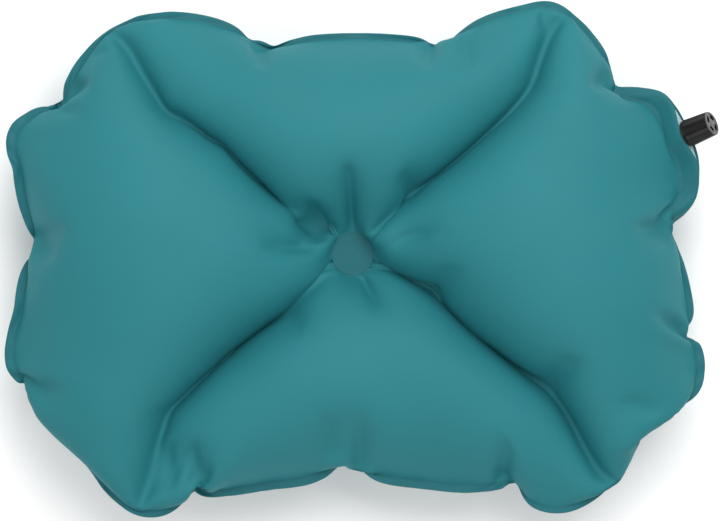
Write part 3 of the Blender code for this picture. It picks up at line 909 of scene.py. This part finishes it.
def port_cell(quarter):
    """A quarter of the end wall round its port: rows from the cell's border to the port's rim,
    through the wall and back along the other face. The border is a square and the port is a
    superellipse, both in the plane of radius and angle."""
    angle = np.arange(4 * CELL_STEPS) / CELL_STEPS * np.pi / 2 - np.pi / 4
    cosine, sine = np.cos(angle), np.sin(angle)
    border = np.stack([cosine, sine]) / np.maximum(np.abs(cosine), np.abs(sine))
    power = PORT_CORNER_POWER
    port = np.stack([cosine, sine]) / (np.abs(cosine) ** power + np.abs(sine) ** power) ** (1 / power)
    half = (PORT_CELL[1] - PORT_CELL[0]) / 2
    port *= np.array([[PORT_HALF_DEPTH / half], [PORT_HALF_ANGLE / (np.pi / 4)]])
    rows = np.array((
        (1.0, CAP_FLOOR), (0.5, CAP_FLOOR), (0.22, CAP_FLOOR), (0.1, CAP_FLOOR - 0.05),
        (0.03, CAP_FLOOR - 0.16), (0.0, CAP_FLOOR - 0.35), (0.0, CAP_WALL_INNER + 0.2),
        (0.05, CAP_WALL_INNER), (1.0, CAP_WALL_INNER),
    ))
    share = rows[:, :1]
    radius = (PORT_CELL[0] + PORT_CELL[1]) / 2 + half * (port[0] + (border[0] - port[0]) * share)
    bearing = (quarter + 0.5) * np.pi / 2 + np.pi / 4 * (port[1] + (border[1] - port[1]) * share)
    return round_valve(radius, bearing, rows[:, 1:])


def cap_hub(top):
    """One face of the hub in the middle of the end wall, as rows out from its middle."""
    rows = np.array(((0.25, CAP_TOP), (1.4, CAP_TOP), (1.7, CAP_TOP - 0.03), (1.85, CAP_TOP - 0.12),
                     (1.95, CAP_FLOOR + 0.03), (PORT_CELL[0], CAP_FLOOR)) if top else
                    ((0.25, CAP_WALL_INNER), (PORT_CELL[0], CAP_WALL_INNER)))
    return round_valve(rows[:, :1], cap_angles(), rows[:, 1:])


def join_grids(name, grids, material, filled=()):
    """One mesh from grids whose borders meet, with the first row of some closed by a fan."""
    points, faces = [], []
    count = 0
    for index, grid in enumerate(grids):
        rows, columns = grid.shape[:2]
        faces += (faces_of_grid(rows, columns) + count).tolist()
        if index in filled:
            faces.append(list(range(count, count + columns)))
        points.append(grid.reshape(-1, 3))
        count += rows * columns
    made = new_object(name, np.concatenate(points), faces, material)
    mesh = bmesh.new()
    mesh.from_mesh(made.data)
    bmesh.ops.remove_doubles(mesh, verts=mesh.verts, dist=2e-6)
    bmesh.ops.recalc_face_normals(mesh, faces=mesh.faces)
    mesh.to_mesh(made.data)
    mesh.free()
    return made


FILM_TIP = 16.6
FILM_CREST_HALF = 2.0
FILM_HALF_HEIGHT = 5.75
FILM_TIP_HEIGHT = 0.45
FILM_HOLE = 4.95
FILM_FRONT = -0.7
FILM_BACK = -12.0


def film_grid(settings, columns=240):
    """The lens of film between the panels: a ring of sections from the stem's hole out to the
    lens-shaped outline, back along the panels and in again. The front face is creased."""
    angle = np.arange(columns) / columns * 2 * np.pi
    across = FILM_TIP * np.cos(angle)
    half = np.interp(np.abs(across), (FILM_CREST_HALF, FILM_TIP), (FILM_HALF_HEIGHT, FILM_TIP_HEIGHT))
    outline = np.stack([across, half * np.clip(np.sin(angle) * 8, -1, 1)])
    hole = np.stack([np.cos(angle), np.sin(angle)]) * FILM_HOLE
    front = np.linspace(0, 1, 24)
    rows = np.concatenate([front, [1.0, 1.0, 0.6, 0.0]])
    depth = np.concatenate([np.full(24, FILM_FRONT), [FILM_FRONT - 3, FILM_BACK, FILM_BACK, FILM_BACK]])
    place = hole[:, None] + (outline - hole)[:, None] * rows[:, None]
    crumple = (
        np.sin(place[0] * 1.9 + place[1] * 2.3) * np.sin(place[0] * 0.8 - place[1] * 3.1 + 0.7)
        + 0.6 * np.sin(place[0] * 3.7 - place[1] * 1.7 + 2.0)
    )
    on_front = np.concatenate([np.sin(np.pi * front), np.zeros(4)])[:, None]
    depth = depth[:, None] + settings.film_crumple / MM * crumple * on_front
    return on_valve(place[0], place[1], depth)


# Settings


def length_setting(name, description, default, low, high):
    """A setting for a length, with its default and range in millimetres."""
    return FloatProperty(name=name, description=description, default=default * MM, min=low * MM,
                         max=high * MM, precision=5, unit="LENGTH")


def number_setting(name, description, default, high=1000.0, low=0.0, **extra):
    """A setting for a plain number."""
    return FloatProperty(name=name, description=description, default=default, min=low, max=high, **extra)


def colour_setting(name, description, default):
    """A setting for a colour."""
    return FloatVectorProperty(name=name, description=description, default=default, min=0.0, max=1.0,
                               subtype="COLOR")


class PillowSettings(bpy.types.PropertyGroup):
    """Sizes and colours of the pillow's fabric."""

    weld_radius: length_setting("Weld Radius", "Radius of the round weld in the middle", 11.5, 5, 25)
    crease_pull: number_setting(
        "Crease Pull", "How hard the creases are held in, against the air", 4.4, 8.0)
    tuck_pull: number_setting(
        "Tuck Pull", "How hard the short tucks are held in, against the air", 7.0, 12.0)
    tuck_width: length_setting("Tuck Width", "Half the width of a short tuck at the rim", 1.7, 1, 6)
    hub_tuck_width: length_setting(
        "Middle Tuck Width", "Half the width of a short tuck beside the centre weld", 1.6, 1, 6)
    rim_wave: length_setting("Rim Wave", "How far the rim rises and falls", 1.3, 0.0, 4)
    weave_pitch: length_setting("Weave Pitch", "Distance between threads of the cloth", 0.42, 0.1, 2)
    fabric_colour: colour_setting("Fabric", "Colour of the woven cloth", (0.016, 0.158, 0.18))
    # Weld colour: the pressed weld's own tone, darkened further as painted shade where the lobes shade the
    # flange and centre weld.
    weld_and_painted_shade_colour: colour_setting(
        "Weld", "Colour of the cloth where it is pressed and welded", (0.011, 0.125, 0.145))


class ValveSettings(bpy.types.PropertyGroup):
    """Sizes and colours of the twist valve."""

    cap_radius: length_setting("Cap Radius", "Radius of the cap at its open end", 7.5, 6.8, 9)
    cap_top_radius: length_setting("Cap End Radius", "Radius of the cap at its ported end", 6.7, 6.6, 9)
    rib_groups: IntProperty(
        name="Rib Groups", description="Groups of ribs round the cap, with smooth lands between",
        default=6, min=1, max=12)
    ribs_in_group: IntProperty(
        name="Ribs in a Group", description="Ribs in each group", default=4, min=1, max=8)
    rib_share: FloatProperty(
        name="Rib Share", description="Share of the cap's side that has ribs",
        default=0.62, min=0.1, max=1.0, subtype="FACTOR")
    rib_depth: length_setting("Rib Depth", "Depth of the grooves between ribs", 0.42, 0.0, 0.6)
    film_crumple: length_setting(
        "Film Crumple", "How far the film beside the stem is creased in and out", 0.28, 0.0, 0.6)
    plastic_colour: colour_setting(
        "Plastic", "Colour of the cap, stem and plug", (0.004, 0.0038, 0.0043))
    # Cap end colour: a lighter grey than the body, a painted highlight where light catches the ported end.
    end_painted_highlight_colour: colour_setting(
        "Cap End", "Colour of the cap's ported end, which handling has dulled", (0.1, 0.1, 0.105))
    film_colour: colour_setting("Film", "Colour of the film between the panels", (0.42, 0.56, 0.6))
    rubber_colour: colour_setting("Rubber", "Colour of the washer and seal ring", (0.02, 0.02, 0.02))


class StageSettings(bpy.types.PropertyGroup):
    """Camera, floor and light."""

    view_height: FloatProperty(
        name="View Height", description="Height of the camera above the middle of the pillow",
        default=1.6, min=0.3, max=5.0, unit="LENGTH")
    view_width: FloatProperty(
        name="View Width", description="Width that the camera sees at the middle of the pillow",
        default=0.3895, min=0.1, max=2.0, precision=4, unit="LENGTH")
    view_offset: FloatVectorProperty(
        name="View Offset", description="Middle of the view, from the centre weld",
        default=(3.95 * MM, -3.5 * MM), size=2, precision=5, subtype="TRANSLATION", unit="LENGTH")
    floor_size: FloatProperty(
        name="Floor Size", description="Side of the square floor", default=8.0, min=1.0, unit="LENGTH")
    floor_colour: colour_setting("Floor", "Colour of the floor", (0.97, 0.97, 0.97))
    key_power: number_setting(
        "Key Light", "Power of the large light beyond the far side", 18.0, unit="POWER")
    side_power: number_setting("Side Light", "Power of the light on the left", 1.6, unit="POWER")
    front_power: number_setting("Front Light", "Power of the light on the near side", 7.0, unit="POWER")
    sky_strength: number_setting("Sky", "Strength of the even light from all round", 0.5)


# Operators


class PILLOW_OT_panels(bpy.types.Operator):
    """Inflate the two fabric panels"""

    bl_idname = "pillow.panels"
    bl_label = "Panels"

    def execute(self, context):
        sizes = context.scene.pillow
        shape, plan = inflate(sizes)
        level = LEVELS[-1][0]
        flat = flat_cloth(plan, ROWS * level, level, sizes.weld_radius / MM)
        fit_round_mount(shape, plan, flat, ROWS * level)
        material = panel_finish(sizes)
        for layer, node in enumerate(("top_panel", "bottom_panel")):
            points, cloth, welded = panel_surface(shape, plan, flat, layer, sizes)
            ends = [points[row].mean(0) for row in (0, -1)]
            panel = grid_object(node + "_fabric", in_frame(points), material, in_frame(np.array(ends)))
            mesh = panel.data
            corner = np.empty(len(mesh.loops), np.int32)
            mesh.loops.foreach_get("vertex_index", corner)
            places = np.concatenate([cloth.reshape(-1, 2), np.zeros((2, 2))]) * MM
            mesh.uv_layers.new(name="cloth").data.foreach_set("uv", places[corner].ravel())
            share = np.concatenate([welded.ravel(), [1.0, 1.0]])
            mesh.attributes.new("welded", "FLOAT", "POINT").data.foreach_set("value", share)
            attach(panel, "pillow")
            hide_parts(node)
        return {"FINISHED"}


class PILLOW_OT_valve_mount(bpy.types.Operator):
    """Make the lens of film that the stem is welded into"""

    bl_idname = "pillow.valve_mount"
    bl_label = "Valve Mount"

    def execute(self, context):
        settings = context.scene.pillow_valve
        film = grid_object("valve_boat_film", film_grid(settings), film_finish(settings), closed_rows=True)
        film.data.set_sharp_from_angle(angle=SHARP_ANGLE)
        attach(film, "pillow")
        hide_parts("valve_boat")
        return {"FINISHED"}


class PILLOW_OT_valve_stem(bpy.types.Operator):
    """Make the threaded stem with its rounded collar"""

    bl_idname = "pillow.valve_stem"
    bl_label = "Valve Stem"

    def execute(self, context):
        settings = context.scene.pillow_valve
        material = plastic_finish("stem_plastic", settings.plastic_colour, 0.4)
        stem = grid_object("valve_stem_moulding", stem_grid(), material, closed_rows=True)
        stem.data.set_sharp_from_angle(angle=SHARP_ANGLE)
        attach(stem, "pillow")
        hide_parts("valve_stem")
        return {"FINISHED"}


class PILLOW_OT_valve_cap(bpy.types.Operator):
    """Make the ribbed cap with four ports in its end"""

    bl_idname = "pillow.valve_cap"
    bl_label = "Valve Cap"

    def execute(self, context):
        settings = context.scene.pillow_valve
        grids = [cap_hub(True), cap_hub(False), cap_shell(settings)]
        grids += [port_cell(quarter) for quarter in range(4)]
        material = plastic_finish("cap_plastic", settings.plastic_colour, 0.36)
        cap = join_grids("valve_cap_moulding", grids, material, filled=(0, 1))
        # Painted highlight: the faces of the ported end get a lighter grey material where light catches that
        # face.
        cap.data.materials.append(plastic_finish("cap_end_plastic", settings.end_painted_highlight_colour, 0.5))
        ends = Vector(AXIS_POINT + OUT * (CAP_FLOOR - CAP_FACE_DEPTH) * MM)
        for face in cap.data.polygons:
            if (face.center - ends).dot(Vector(OUT)) > 0 and face.normal.dot(Vector(OUT)) > CAP_FACE_TURN:
                face.material_index = 1
        cap.data.set_sharp_from_angle(angle=CAP_SHARP_ANGLE)
        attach(cap, "cap")
        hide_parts("valve_cap")
        return {"FINISHED"}


class PILLOW_OT_valve_plug(bpy.types.Operator):
    """Finish the plug, washer and seal ring inside the valve"""

    bl_idname = "pillow.valve_plug"
    bl_label = "Valve Plug and Seals"

    def execute(self, context):
        settings = context.scene.pillow_valve
        rubber = rubber_finish(settings)
        finishes = {
            "plug_spider": plastic_finish("plug_plastic", settings.plastic_colour, 0.42),
            "plug_washer": rubber, "cap_seal": rubber,
        }
        for node, material in finishes.items():
            frame["nodes"][node].data.materials.clear()
            frame["nodes"][node].data.materials.append(material)
        return {"FINISHED"}


# Place in metres from the centre weld, and side of the square, of each light
LIGHTS = {
    "key": ((0.25, 0.72, 1.15), 1.1),
    "side": ((-1.0, 0.1, 0.8), 0.8),
    "front": ((0.0, -0.9, 1.2), 1.0),
}


def add_light(name, place, size, power):
    """A square area light that faces the pillow, with its place in metres from the centre weld."""
    data = bpy.data.lights.new(name, "AREA")
    data.size = size
    data.energy = power
    light = bpy.data.objects.new(name, data)
    bpy.context.scene.collection.objects.link(light)
    light.location = Vector(CENTRE) + Vector(place)
    light.rotation_euler = Vector(place).to_track_quat("Z", "Y").to_euler()


class PILLOW_OT_stage(bpy.types.Operator):
    """Set up the floor, lights and camera"""

    bl_idname = "pillow.stage"
    bl_label = "Stage"

    def execute(self, context):
        settings = context.scene.pillow_stage
        half = settings.floor_size / 2
        corners = np.array(((-half, -half, 0), (half, -half, 0), (half, half, 0), (-half, half, 0)))
        new_object("studio_floor", corners, [(0, 1, 2, 3)], floor_finish(settings))

        for name, (place, size) in LIGHTS.items():
            add_light(name + "_light", place, size, getattr(settings, name + "_power"))
        world = bpy.data.worlds.new("studio_sky")
        world.use_nodes = True
        sky = world.node_tree.nodes["Background"]
        sky.inputs["Color"].default_value = (1.0, 1.0, 1.0, 1.0)
        sky.inputs["Strength"].default_value = settings.sky_strength
        context.scene.world = world

        data = bpy.data.cameras.new("camera")
        data.sensor_width = 36.0
        data.lens = data.sensor_width * settings.view_height / settings.view_width
        camera = bpy.data.objects.new("camera", data)
        context.scene.collection.objects.link(camera)
        camera.location = Vector(CENTRE) + Vector((*settings.view_offset, settings.view_height))
        context.scene.camera = camera
        context.scene.view_settings.view_transform = "Standard"
        return {"FINISHED"}


class PILLOW_PT_sidebar(bpy.types.Panel):
    """Camp pillow settings and steps"""

    bl_idname = "PILLOW_PT_sidebar"
    bl_label = "Camp Pillow"
    bl_space_type = "VIEW_3D"
    bl_region_type = "UI"
    bl_category = "Camp Pillow"

    def draw(self, context):
        layout = self.layout
        groups = (
            (context.scene.pillow, (PILLOW_OT_panels,)),
            (context.scene.pillow_valve, (
                PILLOW_OT_valve_mount, PILLOW_OT_valve_stem, PILLOW_OT_valve_cap, PILLOW_OT_valve_plug)),
            (context.scene.pillow_stage, (PILLOW_OT_stage,)),
        )
        for settings, operators in groups:
            box = layout.box()
            for name in settings.__annotations__:
                box.prop(settings, name)
            for operator in operators:
                box.operator(operator.bl_idname)


CLASSES = (
    PillowSettings, ValveSettings, StageSettings, PILLOW_OT_panels, PILLOW_OT_valve_mount,
    PILLOW_OT_valve_stem, PILLOW_OT_valve_cap, PILLOW_OT_valve_plug, PILLOW_OT_stage, PILLOW_PT_sidebar,
)


GROUPS = {"pillow": PillowSettings, "pillow_valve": ValveSettings, "pillow_stage": StageSettings}


def register():
    """Adds the classes, and the settings to every scene."""
    for item in CLASSES:
        bpy.utils.register_class(item)
    for name, group in GROUPS.items():
        setattr(bpy.types.Scene, name, PointerProperty(type=group))


def unregister():
    """Takes the settings and the classes away again."""
    for name in GROUPS:
        delattr(bpy.types.Scene, name)
    for item in reversed(CLASSES):
        bpy.utils.unregister_class(item)


def main():
    """Makes every piece and the stage."""
    register()
    bpy.ops.pillow.panels()
    bpy.ops.pillow.valve_mount()
    bpy.ops.pillow.valve_stem()
    bpy.ops.pillow.valve_cap()
    bpy.ops.pillow.valve_plug()
    bpy.ops.pillow.stage()


if __name__ == "__main__":
    main()
